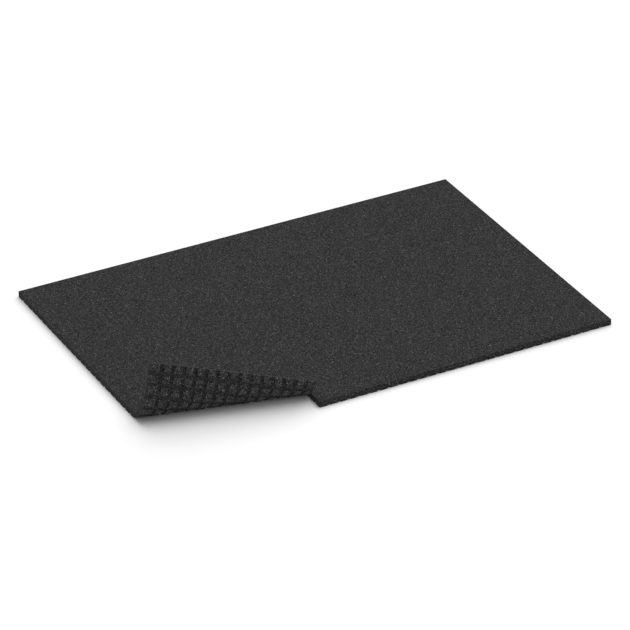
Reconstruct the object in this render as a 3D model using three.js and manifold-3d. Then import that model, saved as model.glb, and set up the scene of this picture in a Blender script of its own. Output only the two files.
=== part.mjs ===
// Rubber stall mat: one sheet of bound crumb rubber with a grid of blocks underneath.
// Its near left corner is cut free by a slit and stands curled up on its own.
// Millimetres, +Z up. The origin is at the middle of the floor area that the mat covers,
// +X runs along the long edges to the right, and +Y to the back.
import * as THREE from 'three';
import { mergeVertices } from 'three/addons/utils/BufferGeometryUtils.js';
import Module from 'manifold-3d';

const wasm = await Module();
wasm.setup();

// Sheet
const LENGTH = 1500;
const WIDTH = 1000;
const THICKNESS = 20;

// Underside: blocks about one pitch apart, with a groove between each two.
// The blocks along the edges have their own width: the first groove across the mat is this far
// from each short edge, and the first one along it this far from each long edge.
const BLOCK_PITCH = 33.3;
const FIRST_ACROSS = 37;
const FIRST_ALONG = 29.5;
const GROOVE_WIDTH = 10.5;
const GROOVE_DEPTH = 3.5;

// Slit from the front edge, where a groove would be: the two blocks beside it are joined there
const BLOCKS_LEFT_OF_SLIT = 15;
const SLIT_LENGTH = 106;
const SLIT_WIDTH = 2;
const SLIT_PAST_CURL = 1;

// Curl: it starts on the line from just short of the slit's end to a point on the left edge,
// turns on one radius (to the middle of the sheet) and runs on straight to the corner
const CURL_FROM_CORNER = 229.5;
const CURL_RADIUS = 68;
const CURL_TURN = 112.8;
const TURN_PER_FACET = 11.3;

// How far a cutter reaches past the face that it cuts through
const OVERSHOOT = 5;

// How near two points are one, and how near a fold line a cut face lies
const SAME_POINT = 0.05;
const ON_FOLD = 0.001;

// Where the middles of the grooves lie over this span, from the first one to the last.
function groovePlaces(span, first) {
  const between = span - 2 * first;
  const pitches = Math.round(between / BLOCK_PITCH);
  return Array.from({ length: pitches + 1 }, (_, step) => first + between * step / pitches);
}

const acrossAt = groovePlaces(LENGTH, FIRST_ACROSS);
const alongAt = groovePlaces(WIDTH, FIRST_ALONG);
const slitAt = acrossAt[BLOCKS_LEFT_OF_SLIT - 1];
const behindSlit = alongAt.find((place) => place > SLIT_LENGTH);

// Cuts are made in sheet coordinates: x and y from the near left corner, z from the underside.
function solidBox(fromX, toX, fromY, toY, fromZ, toZ) {
  const box = new THREE.BoxGeometry(toX - fromX, toY - fromY, toZ - fromZ);
  box.translate((fromX + toX) / 2, (fromY + toY) / 2, (fromZ + toZ) / 2);
  box.deleteAttribute('normal');
  box.deleteAttribute('uv');
  const merged = mergeVertices(box);
  return new wasm.Manifold(new wasm.Mesh({
    numProp: 3,
    vertProperties: new Float32Array(merged.attributes.position.array),
    triVerts: new Uint32Array(merged.index.array),
  }));
}

function joined(solids) {
  return solids.reduce((all, solid) => all.add(solid));
}

// Grooves across the mat run from the front edge to the back edge, the one at the slit from behind it.
function grooveAcross(place) {
  const half = GROOVE_WIDTH / 2;
  const front = place === slitAt ? behindSlit : -OVERSHOOT;
  return solidBox(place - half, place + half, front, WIDTH + OVERSHOOT, -OVERSHOOT, GROOVE_DEPTH);
}

// Grooves along the mat are full in the curled corner, where the underside shows.
// Under the flat part each is cut only as far as the first groove across.
function groovesAlong(place) {
  const half = GROOVE_WIDTH / 2;
  const inCorner = place < CURL_FROM_CORNER + BLOCK_PITCH;
  const leftEnd = inCorner ? slitAt : acrossAt[0];
  const left = solidBox(-OVERSHOOT, leftEnd, place - half, place + half, -OVERSHOOT, GROOVE_DEPTH);
  const right = solidBox(acrossAt.at(-1), LENGTH + OVERSHOOT, place - half, place + half,
    -OVERSHOOT, GROOVE_DEPTH);
  return left.add(right);
}

function flatMat() {
  const slit = solidBox(slitAt - SLIT_WIDTH / 2, slitAt + SLIT_WIDTH / 2, -OVERSHOOT, SLIT_LENGTH,
    -OVERSHOOT, THICKNESS + OVERSHOOT);
  const cutters = [...acrossAt.map(grooveAcross), ...alongAt.map(groovesAlong), slit];
  const sheet = solidBox(0, LENGTH, 0, WIDTH, 0, THICKNESS);
  return sheet.subtract(joined(cutters)).asOriginal().simplify(SAME_POINT);
}

// The curl's start line slants across the corner. "along" follows it, "into" points to the corner.
const startAtSlit = SLIT_LENGTH - SLIT_PAST_CURL;
const slant = Math.atan2(CURL_FROM_CORNER - startAtSlit, slitAt);
const along = new THREE.Vector2(Math.cos(slant), -Math.sin(slant));
const into = new THREE.Vector2(-Math.sin(slant), -Math.cos(slant));
const turn = THREE.MathUtils.degToRad(CURL_TURN);
const arcLength = CURL_RADIUS * turn;
const facets = Math.max(1, Math.round(CURL_TURN / TURN_PER_FACET));
const foldDistances = Array.from({ length: facets + 1 }, (_, step) => arcLength * step / facets);

function distanceInto(point) {
  return point.x * into.x + (point.y - CURL_FROM_CORNER) * into.y;
}

// The upright plane at this distance into the curl, as a normal and its offset from the corner.
function planeAt(distance) {
  return [[into.x, into.y, 0], distance + CURL_FROM_CORNER * into.y];
}

// Cuts the flat mat into the part that stays flat and the strips between the fold lines.
function flatPieces(sheet) {
  const left = solidBox(-OVERSHOOT, slitAt, -OVERSHOOT, WIDTH, -OVERSHOOT, THICKNESS + OVERSHOOT);
  const [corner, flat] = sheet.split(left.trimByPlane(...planeAt(foldDistances[0])));
  const pieces = [flat];
  let rest = corner;
  for (const distance of foldDistances.slice(1)) {
    const [beyond, strip] = rest.splitByPlane(...planeAt(distance));
    pieces.push(strip);
    rest = beyond;
  }
  pieces.push(rest);
  return pieces;
}

// Moves a point of the flat mat to its place in the curl.
function curl(point) {
  const distance = distanceInto(point);
  if (distance <= 0 || point.x > slitAt) return point;
  const angle = Math.min(distance / CURL_RADIUS, turn);
  const straight = Math.max(distance - arcLength, 0);
  const level = point.z - THICKNESS / 2;
  const out = CURL_RADIUS * Math.sin(angle) + straight * Math.cos(angle) - level * Math.sin(angle);
  const up = CURL_RADIUS * (1 - Math.cos(angle)) + straight * Math.sin(angle) + level * Math.cos(angle);
  const side = point.x * along.x + (point.y - CURL_FROM_CORNER) * along.y;
  return new THREE.Vector3(
    side * along.x + out * into.x,
    side * along.y + out * into.y + CURL_FROM_CORNER,
    up + THICKNESS / 2,
  );
}

// Along a cut, one piece can have a point in the middle of its neighbour's edge.
// Faces with such an edge are split there, so that the neighbours share every point.
function facesWithSharedPoints(points, faces) {
  const edgesOf = ([a, b, c]) => [[a, b, c], [b, c, a], [c, a, b]];
  const known = new Set(faces.flatMap(edgesOf).map(([a, b]) => `${a} ${b}`));
  const isLoose = ([a, b]) => !known.has(`${b} ${a}`);
  const looseEnds = [...new Set(faces.flatMap(edgesOf).filter(isLoose).flatMap(([a, b]) => [a, b]))];
  const pointsOn = ([a, b]) => {
    const line = new THREE.Line3(points[a], points[b]);
    const nearest = new THREE.Vector3();
    const share = (number) => line.closestPointToPointParameter(points[number], true);
    return looseEnds
      .filter((number) => number !== a && number !== b
        && line.closestPointToPoint(points[number], true, nearest).distanceTo(points[number]) < SAME_POINT)
      .sort((one, other) => share(one) - share(other));
  };
  return faces.flatMap((face) => {
    const edge = edgesOf(face).find((each) => isLoose(each) && pointsOn(each).length > 0);
    if (!edge) return [face];
    const [a, b, c] = edge;
    const stops = [a, ...pointsOn(edge), b];
    return stops.slice(1).map((stop, i) => [stops[i], stop, c]);
  });
}

// Joins the pieces again: points that meet become one, and the cut faces between pieces go.
function curledGeometry(pieces) {
  const points = [];
  const faces = [];
  const numberOf = (point) => {
    const known = points.findIndex((other) => other.distanceToSquared(point) < SAME_POINT ** 2);
    return known < 0 ? points.push(point) - 1 : known;
  };
  const liesOnFold = (corners) => foldDistances.some((distance) => corners.every((corner) => (
    corner.x < slitAt && Math.abs(distanceInto(corner) - distance) < ON_FOLD
  )));
  for (const piece of pieces) {
    const { vertProperties, triVerts } = piece.getMesh();
    for (let i = 0; i < triVerts.length; i += 3) {
      const corners = [0, 1, 2].map((corner) => (
        new THREE.Vector3().fromArray(vertProperties, 3 * triVerts[i + corner])
      ));
      const face = corners.map(numberOf);
      if (new Set(face).size === 3 && !liesOnFold(corners)) faces.push(face);
    }
  }
  const geometry = new THREE.BufferGeometry().setFromPoints(points.map(curl));
  geometry.setIndex(facesWithSharedPoints(points, faces).flat());
  geometry.translate(-LENGTH / 2, -WIDTH / 2, 0);
  geometry.computeVertexNormals();
  return geometry;
}

const rubber = new THREE.MeshStandardMaterial({ color: 0x3a3a3a, roughness: 0.92, metalness: 0 });
const mat = new THREE.Mesh(curledGeometry(flatPieces(flatMat())), rubber);
mat.name = 'stall_mat';

const product = new THREE.Group();
product.add(mat);
export default product;
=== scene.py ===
# Rubber stall mat: bound crumb rubber with blocks underneath, its near left corner slit and curled up
import math
import bmesh
import bpy
from mathutils import Matrix, Vector


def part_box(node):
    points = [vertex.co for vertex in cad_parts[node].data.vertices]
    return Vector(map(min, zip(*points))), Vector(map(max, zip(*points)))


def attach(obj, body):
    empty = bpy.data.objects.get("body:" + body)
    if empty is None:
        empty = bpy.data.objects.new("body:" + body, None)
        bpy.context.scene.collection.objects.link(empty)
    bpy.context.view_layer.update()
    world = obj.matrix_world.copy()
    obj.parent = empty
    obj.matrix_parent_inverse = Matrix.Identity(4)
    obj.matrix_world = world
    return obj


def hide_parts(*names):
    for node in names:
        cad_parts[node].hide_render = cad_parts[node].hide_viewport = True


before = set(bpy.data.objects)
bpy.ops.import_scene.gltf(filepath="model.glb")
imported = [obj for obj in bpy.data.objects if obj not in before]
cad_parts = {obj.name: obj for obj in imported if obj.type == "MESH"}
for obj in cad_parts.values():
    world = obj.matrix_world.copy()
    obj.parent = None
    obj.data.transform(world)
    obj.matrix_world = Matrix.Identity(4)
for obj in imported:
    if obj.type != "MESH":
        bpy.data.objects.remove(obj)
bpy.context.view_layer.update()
print("frame loaded")

# Sheet coordinates lie flat: x and y from the near left corner, z from the underside
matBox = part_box("stall_mat")
mat = {
    "length": 2 * matBox[1][0],
    "width": 2 * matBox[1][1],
    "thickness": 0.020,
    "firstAcross": 0.037,  # from each short edge to the middle of the first groove
    "firstAlong": 0.0295,  # and from each long edge
    "blockPitch": 0.0333,  # about: a whole number of pitches fills the room between those grooves
    "grooveWidth": 0.0105,
    "grooveDepth": 0.0035,
    "edgeRound": 0.0012,
    "blockRound": 0.0013,
    "roundSegments": 2,
    "roundFrom": math.radians(60),  # an edge that turns by more than this is rounded
    "smoothUpTo": math.radians(50),
}
samePlace = 1e-6


def groovePlaces(span, first):
    between = span - 2 * first
    pitches = round(between / mat["blockPitch"])
    return [first + between * step / pitches for step in range(pitches + 1)]


acrossAt = groovePlaces(mat["length"], mat["firstAcross"])
alongAt = groovePlaces(mat["width"], mat["firstAlong"])
pitchLong = acrossAt[1] - acrossAt[0]
pitchWide = alongAt[1] - alongAt[0]

curl = {
    "blocksLeftOfSlit": 15,
    "slitLength": 0.106,
    "slitWidth": 0.002,
    "slitPastCurl": 0.001,
    "fromCorner": 0.2295,  # where the curl starts on the left edge
    "radius": 0.068,  # to the middle of the sheet
    "turn": math.radians(112.8),
    "foldSpacing": 0.004,
}
slitAt = acrossAt[curl["blocksLeftOfSlit"] - 1]  # in the place of a groove, which starts behind it
behindSlit = min(place for place in alongAt if place > curl["slitLength"])
startAtSlit = curl["slitLength"] - curl["slitPastCurl"]
slant = math.atan2(curl["fromCorner"] - startAtSlit, slitAt)
along = Vector((math.cos(slant), -math.sin(slant)))
into = Vector((-math.sin(slant), -math.cos(slant)))
arcLength = curl["radius"] * curl["turn"]


def distanceInto(point):
    return point.x * into.x + (point.y - curl["fromCorner"]) * into.y


# Where a point of the flat sheet goes when the corner curls up
def curled(point):
    distance = distanceInto(point)
    if distance <= 0 or point.x > slitAt:
        return point.copy()
    angle = min(distance / curl["radius"], curl["turn"])
    straight = max(distance - arcLength, 0)
    level = point.z - mat["thickness"] / 2
    out = curl["radius"] * math.sin(angle) + straight * math.cos(angle) - level * math.sin(angle)
    up = curl["radius"] * (1 - math.cos(angle)) + straight * math.sin(angle) + level * math.cos(angle)
    side = point.x * along.x + (point.y - curl["fromCorner"]) * along.y
    flat = side * along + out * into
    return Vector((flat.x, flat.y + curl["fromCorner"], up + mat["thickness"] / 2))


def cutAt(bm, geometry, point, normal):
    bmesh.ops.bisect_plane(bm, geom=geometry, dist=samePlace, plane_co=point, plane_no=normal)


def everything(bm):
    return bm.verts[:] + bm.edges[:] + bm.faces[:]


def geometryOf(faces):
    edges = {edge for face in faces for edge in face.edges}
    verts = {vert for face in faces for vert in face.verts}
    return list(verts) + list(edges) + list(faces)


def inSlitColumn(face):
    return abs(face.calc_center_median().x - slitAt) < curl["slitWidth"] / 2


# A flat grid whose lines are the walls of the grooves, with the slit left out
def layOutSheet(bm):
    bmesh.ops.create_grid(bm, x_segments=1, y_segments=1, size=0.5)  # a metre square
    toSheet = Matrix.Diagonal((mat["length"], mat["width"], 1, 1))
    bmesh.ops.transform(bm, matrix=toSheet, verts=bm.verts)
    low = Vector((min(vert.co.x for vert in bm.verts), min(vert.co.y for vert in bm.verts), 0))
    bmesh.ops.translate(bm, vec=Vector((0, 0, mat["grooveDepth"])) - low, verts=bm.verts)
    half = mat["grooveWidth"] / 2
    for wall in (-half, half):
        for place in acrossAt:
            cutAt(bm, everything(bm), (place + wall, 0, 0), (1, 0, 0))
        for place in alongAt:
            cutAt(bm, everything(bm), (0, place + wall, 0), (0, 1, 0))
    for side in (-1, 1):
        cutAt(bm, everything(bm), (slitAt + side * curl["slitWidth"] / 2, 0, 0), (1, 0, 0))
    column = [face for face in bm.faces if inSlitColumn(face)]
    cutAt(bm, geometryOf(column), (0, curl["slitLength"], 0), (0, 1, 0))
    slit = [face for face in bm.faces
            if inSlitColumn(face) and face.calc_center_median().y < curl["slitLength"]]
    bmesh.ops.delete(bm, geom=slit, context="FACES")


# The blocks on the two sides of the slit reach up to it
def isBlock(face):
    center = face.calc_center_median()
    half = mat["grooveWidth"] / 2
    inAcross = any(abs(center.x - place) < half for place in acrossAt)
    inAlong = any(abs(center.y - place) < half for place in alongAt)
    besideSlit = abs(center.x - slitAt) < half and center.y < behindSlit
    return (not inAcross or besideSlit) and not inAlong


# The grid becomes the grooves' floor: the sheet rises from it and the blocks stand down from it
def raiseSheet(bm):
    floor = bm.faces[:]
    raised = bmesh.ops.extrude_face_region(bm, geom=floor, use_keep_orig=True)
    top = [item for item in raised["geom"] if isinstance(item, bmesh.types.BMVert)]
    rise = mat["thickness"] - mat["grooveDepth"]
    bmesh.ops.translate(bm, vec=(0, 0, rise), verts=top)
    overBlocks = [face for face in floor if isBlock(face)]
    lowered = bmesh.ops.extrude_face_region(bm, geom=overBlocks)
    feet = [item for item in lowered["geom"] if isinstance(item, bmesh.types.BMVert)]
    bmesh.ops.translate(bm, vec=(0, 0, -mat["grooveDepth"]), verts=feet)
    bmesh.ops.delete(bm, geom=overBlocks, context="FACES")  # these would stay inside the rubber
    bmesh.ops.remove_doubles(bm, verts=bm.verts, dist=samePlace)
    bmesh.ops.recalc_face_normals(bm, faces=bm.faces)


# The blocks' edges are rounder than those of the sheet above them
def roundEdges(bm):
    for radius, onBlocks in ((mat["blockRound"], True), (mat["edgeRound"], False)):
        outer = [edge for edge in bm.edges
                 if len(edge.link_faces) == 2 and edge.calc_face_angle_signed() > mat["roundFrom"]
                 and (min(vert.co.z for vert in edge.verts) < mat["grooveDepth"] / 2) == onBlocks]
        bmesh.ops.bevel(bm, geom=outer, offset=radius, offset_type="OFFSET",
                        segments=mat["roundSegments"], profile=0.5, affect="EDGES",
                        clamp_overlap=True, material=-1)


# Fold lines a few millimetres apart let the corner bend smoothly
def curlCorner(bm):
    reach = curl["fromCorner"] + pitchWide
    folds = round(arcLength / curl["foldSpacing"])
    for fold in range(folds + 1):
        distance = arcLength * fold / folds
        corner = [face for face in bm.faces if face.calc_center_median().x < slitAt
                  and face.calc_center_median().y < reach]
        start = Vector((0, curl["fromCorner"])) + distance * into
        cutAt(bm, geometryOf(corner), (start.x, start.y, 0), (into.x, into.y, 0))
    sheetPlace = bm.verts.layers.float_vector.new("sheet")
    toFrame = Vector((mat["length"] / 2, mat["width"] / 2, 0))
    for vert in bm.verts:
        vert[sheetPlace] = vert.co
        vert.co = curled(vert.co) - toFrame


def makeMat():
    bm = bmesh.new()
    layOutSheet(bm)
    raiseSheet(bm)
    roundEdges(bm)
    curlCorner(bm)
    mesh = bpy.data.meshes.new("crumb_mat")
    bm.to_mesh(mesh)
    bm.free()
    for polygon in mesh.polygons:
        polygon.use_smooth = True
    mesh.set_sharp_from_angle(angle=mat["smoothUpTo"])
    piece = bpy.data.objects.new("crumb_mat", mesh)
    bpy.context.collection.objects.link(piece)
    normals = piece.modifiers.new("Even normals", "WEIGHTED_NORMAL")
    normals.keep_sharp = True
    print("mat modelled:", len(mesh.polygons), "faces")
    return piece


# Maths on sockets: each expression adds its Math node
class Signal:
    def __init__(self, shader, socket):
        self.shader = shader
        self.socket = socket

    def combine(self, operation, first, second):
        return self.shader.add("ShaderNodeMath", {"operation": operation}, {0: first, 1: second})

    def __add__(self, other):
        return self.combine("ADD", self, other)

    def __sub__(self, other):
        return self.combine("SUBTRACT", self, other)

    def __rsub__(self, other):
        return self.combine("SUBTRACT", other, self)

    def __mul__(self, other):
        return self.combine("MULTIPLY", self, other)

    def __gt__(self, other):
        return self.combine("GREATER_THAN", self, other)

    def __lt__(self, other):
        return self.combine("LESS_THAN", self, other)

    __radd__ = __add__
    __rmul__ = __mul__


class Shader:
    def __init__(self, name):
        self.material = bpy.data.materials.new(name)
        self.material.use_nodes = True
        self.tree = self.material.node_tree
        self.tree.nodes.clear()

    def add(self, kind, settings=None, sockets=None, output=0):
        node = self.tree.nodes.new(kind)
        for name, value in (settings or {}).items():
            setattr(node, name, value)
        for name, value in (sockets or {}).items():
            if isinstance(value, Signal):
                self.tree.links.new(value.socket, node.inputs[name])
            else:
                node.inputs[name].default_value = value
        return Signal(self, node.outputs[output]) if node.outputs else None


rubber = {
    "grey": 0.0295,
    "grain": 0.0025,
    "fineGrain": 0.0011,
    "grainContrast": 1.85,
    "fineContrast": 0.9,
    "gapWidth": 0.12,  # in grain sizes
    "gapShade": 0.4,
    "paintedGlints": 0.06,  # share of the grains painted lighter as a glint, a painted highlight on cut faces
    "paintedGlintGain": 1.7,
    "mottleSize": 0.16,
    "mottleDetail": 4,
    "mottleRoughness": 0.6,
    "mottle": 0.16,
    "blockPaintedLight": 1.48,  # painted light: the blocks' faces are painted lighter than the top, for the light the curled underside catches
    "acrossPaintedShade": 0.8,
    "alongPaintedLight": 1.15,
    "maskMargin": 0.0002,  # how far the grooves' painted shade and painted light reach past their walls and floor
    "roughness": 0.86,
    "roughnessSpread": 0.12,
    "shine": 0.12,
    "relief": 0.0006,
    "gapShare": 0.6,  # of the relief, the rest being the grains' own heights
}


def grains(shader, place, size, feature, output):
    return shader.add("ShaderNodeTexVoronoi", {"feature": feature, "voronoi_dimensions": "3D"},
                      {"Vector": place, "Scale": 1 / size, "Randomness": 1}, output)


def channel(shader, color, name):
    return shader.add("ShaderNodeSeparateColor", None, {"Color": color}, name)


def coordinate(shader, place, axis):
    return shader.add("ShaderNodeSeparateXYZ", None, {"Vector": place}, axis)


# Goes from 1 - amount / 2 to 1 + amount / 2 as the noise goes from 0 to 1
def varied(noise, amount):
    return 1 + amount * (noise - 0.5)


# The tone where the mask is 1, and 1 where it is 0
def toned(mask, tone):
    return 1 + (tone - 1) * mask


# 1 within a groove of this direction, 0 elsewhere
def grooveBand(shader, position, places):
    pitch = places[1] - places[0]
    half = mat["grooveWidth"] / 2 + rubber["maskMargin"]
    offset = shader.add("ShaderNodeMath", {"operation": "PINGPONG"},
                        {0: position - places[0], 1: pitch / 2})
    return (offset < half) * (position > places[0] - half) * (position < places[-1] + half)


# Masks of the underside for painted light and shade: the grooves across, the grooves along and the
# faces of the blocks
def undersideMasks(shader, place):
    x = coordinate(shader, place, "X")
    y = coordinate(shader, place, "Y")
    level = coordinate(shader, place, "Z")
    nearSlit = (x > slitAt - pitchLong / 2) * (x < slitAt + pitchLong / 2)
    acrossBand = grooveBand(shader, x, acrossAt) * (1 - nearSlit * (y < behindSlit))
    alongBand = grooveBand(shader, y, alongAt)
    onBlocks = level < mat["blockRound"]
    between = (level < mat["grooveDepth"] + rubber["maskMargin"]) * (1 - onBlocks)
    return acrossBand * between, alongBand * between, onBlocks


def crumbRubber():
    shader = Shader("crumb rubber")
    place = shader.add("ShaderNodeAttribute", {"attribute_name": "sheet"}, None, "Vector")
    coarse = grains(shader, place, rubber["grain"], "F1", "Color")
    coarseGrey = channel(shader, coarse, "Red")
    glintPick = channel(shader, coarse, "Green")
    fine = channel(shader, grains(shader, place, rubber["fineGrain"], "F1", "Color"), "Red")
    toEdge = grains(shader, place, rubber["grain"], "DISTANCE_TO_EDGE", "Distance")
    # painted shade: the colour is darker in the gaps between the grains, where shade falls; the same
    # gaps are also sunk by the bump
    gap = shader.add("ShaderNodeMapRange", None,
                     {"Value": toEdge, "From Min": 0, "From Max": rubber["gapWidth"],
                      "To Min": rubber["gapShade"], "To Max": 1})
    mottling = shader.add("ShaderNodeTexNoise", None,
                          {"Vector": place, "Scale": 1 / rubber["mottleSize"],
                           "Detail": rubber["mottleDetail"], "Roughness": rubber["mottleRoughness"]},
                          "Fac")
    variation = varied(coarseGrey, rubber["grainContrast"]) * varied(fine, rubber["fineContrast"])
    # painted highlight: a few grains made lighter, each a painted glint
    glint = 1 + rubber["paintedGlintGain"] * (glintPick > 1 - rubber["paintedGlints"])
    mottle = varied(mottling, rubber["mottle"])
    inAcross, inAlong, onBlocks = undersideMasks(shader, place)
    # painted shade darkens the grooves across, painted light lightens the grooves along
    grooves = toned(inAcross, rubber["acrossPaintedShade"]) * toned(inAlong, rubber["alongPaintedLight"])
    # painted light on the blocks' faces, on top of the grooves' painted shade and light
    paintedUnderside = grooves * toned(onBlocks, rubber["blockPaintedLight"])
    level = rubber["grey"] * variation * gap * glint * mottle * paintedUnderside
    color = shader.add("ShaderNodeCombineColor", None, {"Red": level, "Green": level, "Blue": level})
    rough = rubber["roughness"] + rubber["roughnessSpread"] * (fine - 0.5)
    height = gap * rubber["gapShare"] + coarseGrey * (1 - rubber["gapShare"])
    bump = shader.add("ShaderNodeBump", None,
                      {"Strength": 1, "Distance": rubber["relief"], "Height": height})
    surface = shader.add("ShaderNodeBsdfPrincipled", None,
                         {"Base Color": color, "Roughness": rough, "Normal": bump,
                          "Specular IOR Level": rubber["shine"]})
    shader.add("ShaderNodeOutputMaterial", None, {"Surface": surface})
    return shader.material


matPiece = makeMat()
matPiece.data.materials.append(crumbRubber())
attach(matPiece, "root")
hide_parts("stall_mat")
print("rubber on the mat")

studio = {
    "azimuth": -118.366,  # counted from +X, as the lamp's is
    "elevation": 30.554,
    "distance": 12.309,
    "aim": (-0.00712, -0.02497, 0),
    "lens": 232.68,
    "sensor": 36,
    "sight": 100,
    "floorSize": 40,
    "floorGrey": 0.9,
    "floorRoughness": 0.9,
    "sky": 0.6,
    "lampPower": 2.15,
    "lampAzimuth": 30,  # above the right back
    "lampElevation": 59,
    "lampSpread": 90,  # so wide that its shadows are only soft gradients
}


def makeFloor():
    bm = bmesh.new()
    bmesh.ops.create_grid(bm, x_segments=1, y_segments=1, size=studio["floorSize"] / 2)
    mesh = bpy.data.meshes.new("floor")
    bm.to_mesh(mesh)
    bm.free()
    floor = bpy.data.objects.new("floor", mesh)
    bpy.context.collection.objects.link(floor)
    shader = Shader("pale floor")
    surface = shader.add("ShaderNodeBsdfPrincipled", None,
                         {"Base Color": (studio["floorGrey"],) * 3 + (1,),
                          "Roughness": studio["floorRoughness"]})
    shader.add("ShaderNodeOutputMaterial", None, {"Surface": surface})
    mesh.materials.append(shader.material)


# The direction with this azimuth from +X and this elevation, in degrees
def towards(azimuth, elevation):
    turn = math.radians(azimuth)
    rise = math.radians(elevation)
    return Vector((math.cos(turn) * math.cos(rise), math.sin(turn) * math.cos(rise), math.sin(rise)))


def lightStudio():
    world = bpy.data.worlds.new("studio")
    bpy.context.scene.world = world
    world.use_nodes = True
    background = world.node_tree.nodes["Background"]
    background.inputs["Color"].default_value = (1, 1, 1, 1)
    background.inputs["Strength"].default_value = studio["sky"]
    light = bpy.data.lights.new("lamp", "SUN")
    light.energy = studio["lampPower"]
    light.angle = math.radians(studio["lampSpread"])
    lamp = bpy.data.objects.new("lamp", light)
    above = towards(studio["lampAzimuth"], studio["lampElevation"])
    lamp.rotation_euler = above.to_track_quat("Z", "Y").to_euler()
    bpy.context.collection.objects.link(lamp)


def placeCamera():
    back = towards(studio["azimuth"], studio["elevation"])
    data = bpy.data.cameras.new("camera")
    data.lens = studio["lens"]
    data.sensor_width = studio["sensor"]
    data.clip_end = studio["sight"]
    camera = bpy.data.objects.new("camera", data)
    camera.location = Vector(studio["aim"]) + studio["distance"] * back
    camera.rotation_euler = back.to_track_quat("Z", "Y").to_euler()
    bpy.context.collection.objects.link(camera)
    bpy.context.scene.camera = camera


makeFloor()
lightStudio()
placeCamera()
bpy.context.scene.view_settings.view_transform = "Standard"
print("studio ready")
